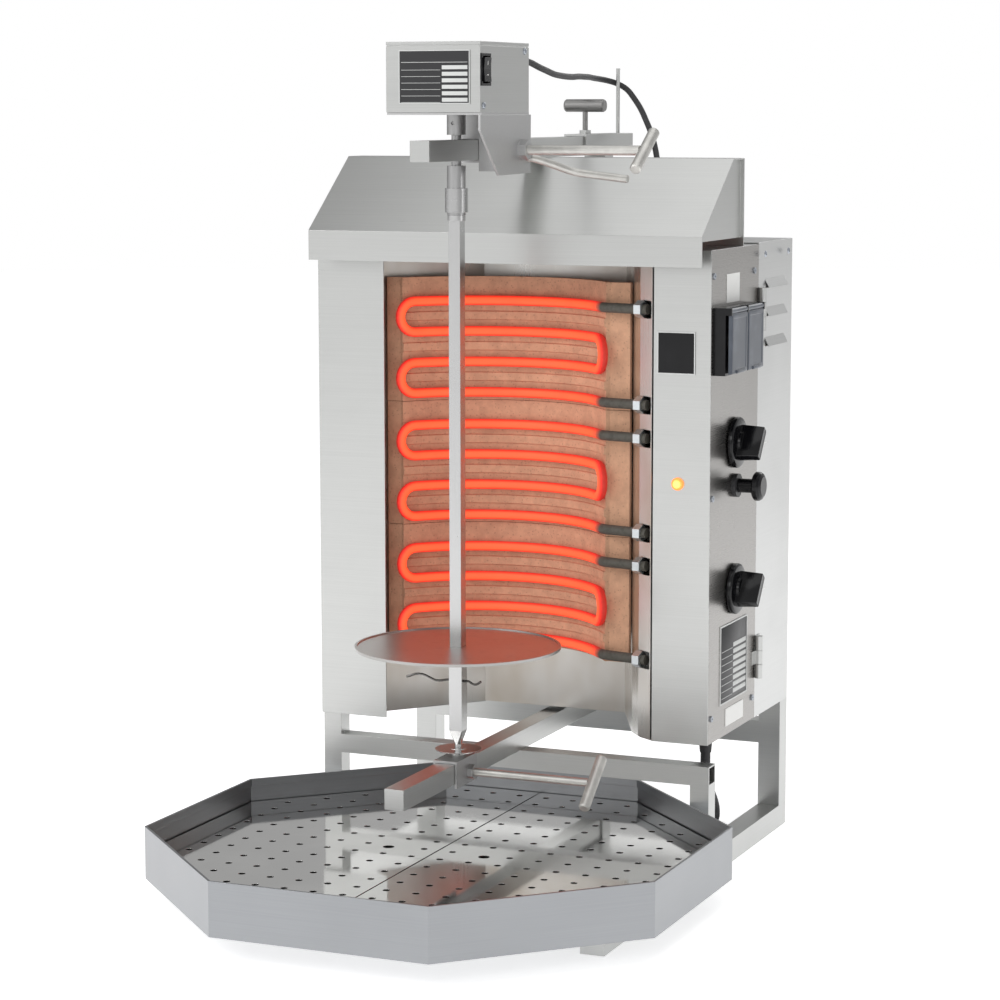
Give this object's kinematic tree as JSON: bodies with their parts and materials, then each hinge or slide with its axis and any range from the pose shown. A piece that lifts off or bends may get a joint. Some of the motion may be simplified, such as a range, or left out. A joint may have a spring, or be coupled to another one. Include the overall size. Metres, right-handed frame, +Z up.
{
  "type": "electric skewer grill",
  "caption": "Free-standing electric skewer grill: heated half-round housing, motor-driven upright spit, drip tray that slides on the stand, side control door.",
  "frame": {"origin": "bottom centre of the object's box, on the floor", "axes": "+X to the object's right seen from its open front, +Y to its back, +Z up"},
  "size_m": [0.666, 0.96, 1.047],
  "materials": {
    "satin_steel": "satin brushed stainless",
    "door_steel": "satin brushed stainless, slightly darker and warmer",
    "bracket_steel": "matt machined plate",
    "reflector_steel": "heat-dulled polished sheet",
    "polished_steel": "polished",
    "cast_steel": "pale cast satin metal",
    "zinc": "bluish zinc plate",
    "tray_steel": "satin, cool grey",
    "insert_mirror": "mirror polished",
    "ceramic_board": "tan-brown fibre ceramic",
    "heating_tube": "glowing sheathed element",
    "black_plastic": "moulded black",
    "lid_plastic": "slate grey moulded",
    "switch_plastic": "dark moulded",
    "terminal_plastic": "ivory moulded",
    "lamp": "amber lens",
    "plate_print": "pale blank plates",
    "label_dark": "dark blank plate",
    "gear_metal": "die cast",
    "cable_rubber": "matt rubber"
  },
  "bodies": {
    "stand": {"bottom_rails": "satin_steel", "tube_end_caps": "satin_steel", "stand_frame": "satin_steel", "lower_arm": "satin_steel", "rear_box": "satin_steel", "left_wing": "satin_steel", "right_wing": "satin_steel", "reflector": "reflector_steel", "hood": "satin_steel", "heater_board_1": "ceramic_board", "heater_board_2": "ceramic_board", "heater_board_3": "ceramic_board", "heater_element_1": "heating_tube", "heater_element_2": "heating_tube", "heater_element_3": "heating_tube", "element_nuts": "zinc", "door_hinge_pins": "satin_steel", "pilot_lamp": "lamp", "badge_plate": "black_plastic", "terminal_block": "terminal_plastic", "rear_mast": "satin_steel", "arm_channel": "satin_steel", "upper_arm": "satin_steel", "cable_guide": "satin_steel", "motor_cable": "cable_rubber", "mains_cable": "cable_rubber", "mains_coil": "cable_rubber", "mains_plug": "cable_rubber", "cable_glands": "cable_rubber"},
    "door": {"control_door": "door_steel", "door_hinge_knuckles": "satin_steel", "door_screws": "zinc", "socket_box": "black_plastic", "rating_plates": "plate_print", "switch_bodies": "switch_plastic"},
    "lid_front": {"socket_lid_front": "lid_plastic"},
    "lid_rear": {"socket_lid_rear": "lid_plastic"},
    "knob_upper": {"heat_knob_upper": "black_plastic"},
    "knob_lower": {"heat_knob_lower": "black_plastic"},
    "regulator": {"regulator_knob": "black_plastic"},
    "arm_screw": {"arm_screw": "cast_steel"},
    "carriage": {"motor_box": "satin_steel", "motor_bracket": "bracket_steel", "motor_fittings": "black_plastic", "gear_motor": "gear_metal", "motor_label": "label_dark"},
    "rocker": {"motor_switch": "black_plastic"},
    "upper_clamp": {"upper_clamp_screw": "cast_steel"},
    "lever": {"carriage_lever": "cast_steel"},
    "spindle": {"drive_shaft": "polished_steel", "spit": "polished_steel", "disc_clip": "polished_steel"},
    "collar": {"coupling_collar": "polished_steel"},
    "disc": {"meat_disc": "polished_steel"},
    "saddle": {"bearing_saddle": "bracket_steel", "bearing_boss": "polished_steel"},
    "lower_clamp": {"lower_clamp_screw": "cast_steel"},
    "tray": {"drip_tray": "tray_steel"},
    "insert_left": {"tray_insert_left": "insert_mirror"},
    "insert_right": {"tray_insert_right": "insert_mirror"}
  },
  "joints": [
    {"name": "carriage_slide", "type": "slide", "parent": "stand", "child": "carriage", "axis": [0, 1, 0], "range_m": [-0.04, 0.06], "deforming": ["motor_cable"]},
    {"name": "saddle_slide", "type": "slide", "parent": "stand", "child": "saddle", "axis": [0, 1, 0], "range_m": [-0.04, 0.06]},
    {"name": "spit_spin", "type": "hinge", "parent": "carriage", "child": "spindle", "pos_m": [0, -0.086, 0.5], "axis": [0, 0, 1], "continuous": true},
    {"name": "collar_slide", "type": "slide", "parent": "spindle", "child": "collar", "axis": [0, 0, 1], "range_m": [0, 0.02]},
    {"name": "disc_slide", "type": "slide", "parent": "spindle", "child": "disc", "axis": [0, 0, 1], "range_m": [0, 0.45]},
    {"name": "upper_clamp_turn", "type": "hinge", "parent": "carriage", "child": "upper_clamp", "pos_m": [0.1, -0.034, 0.9185], "axis": [1, 0, 0], "range_deg": [0, 90]},
    {"name": "lever_turn", "type": "hinge", "parent": "carriage", "child": "lever", "pos_m": [0.062, -0.013, 0.908], "axis": [1, 0, 0], "range_deg": [-60, 20]},
    {"name": "rocker_tilt", "type": "hinge", "parent": "carriage", "child": "rocker", "pos_m": [0.061, -0.14, 1.014], "axis": [0, 1, 0], "range_deg": [-10, 10]},
    {"name": "lower_clamp_turn", "type": "hinge", "parent": "saddle", "child": "lower_clamp", "pos_m": [0.1, -0.087, 0.154], "axis": [1, 0, 0], "range_deg": [0, 90]},
    {"name": "arm_screw_turn", "type": "hinge", "parent": "stand", "child": "arm_screw", "pos_m": [0, 0.34, 0.95], "axis": [0, 0, 1], "range_deg": [0, 90]},
    {"name": "tray_slide", "type": "slide", "parent": "stand", "child": "tray", "axis": [0, -1, 0], "range_m": [0, 0.3]},
    {"name": "insert_left_lift", "type": "slide", "parent": "tray", "child": "insert_left", "axis": [0, 0, 1], "range_m": [0, 0.045]},
    {"name": "insert_right_lift", "type": "slide", "parent": "tray", "child": "insert_right", "axis": [0, 0, 1], "range_m": [0, 0.045]},
    {"name": "door_swing", "type": "hinge", "parent": "stand", "child": "door", "pos_m": [0.2753, 0.267, 0.5], "axis": [0, 0, 1], "range_deg": [0, 95]},
    {"name": "knob_upper_turn", "type": "hinge", "parent": "door", "child": "knob_upper", "pos_m": [0.28, 0.174, 0.548], "axis": [1, 0, 0], "range_deg": [0, 270]},
    {"name": "knob_lower_turn", "type": "hinge", "parent": "door", "child": "knob_lower", "pos_m": [0.28, 0.174, 0.36], "axis": [1, 0, 0], "range_deg": [0, 270]},
    {"name": "regulator_press", "type": "slide", "parent": "door", "child": "regulator", "axis": [-1, 0, 0], "range_m": [0, 0.006], "stiffness_N_per_m": 800},
    {"name": "lid_front_swing", "type": "hinge", "parent": "door", "child": "lid_front", "pos_m": [0.2905, 0.118, 0.72], "axis": [0, -1, 0], "range_deg": [0, 100], "stiffness_Nm_per_rad": 0.02},
    {"name": "lid_rear_swing", "type": "hinge", "parent": "door", "child": "lid_rear", "pos_m": [0.2905, 0.183, 0.72], "axis": [0, -1, 0], "range_deg": [0, 100], "stiffness_Nm_per_rad": 0.02}
  ],
  "couplings": [
    {"joint": "saddle_slide", "follows": "carriage_slide", "ratio": 1}
  ]
}
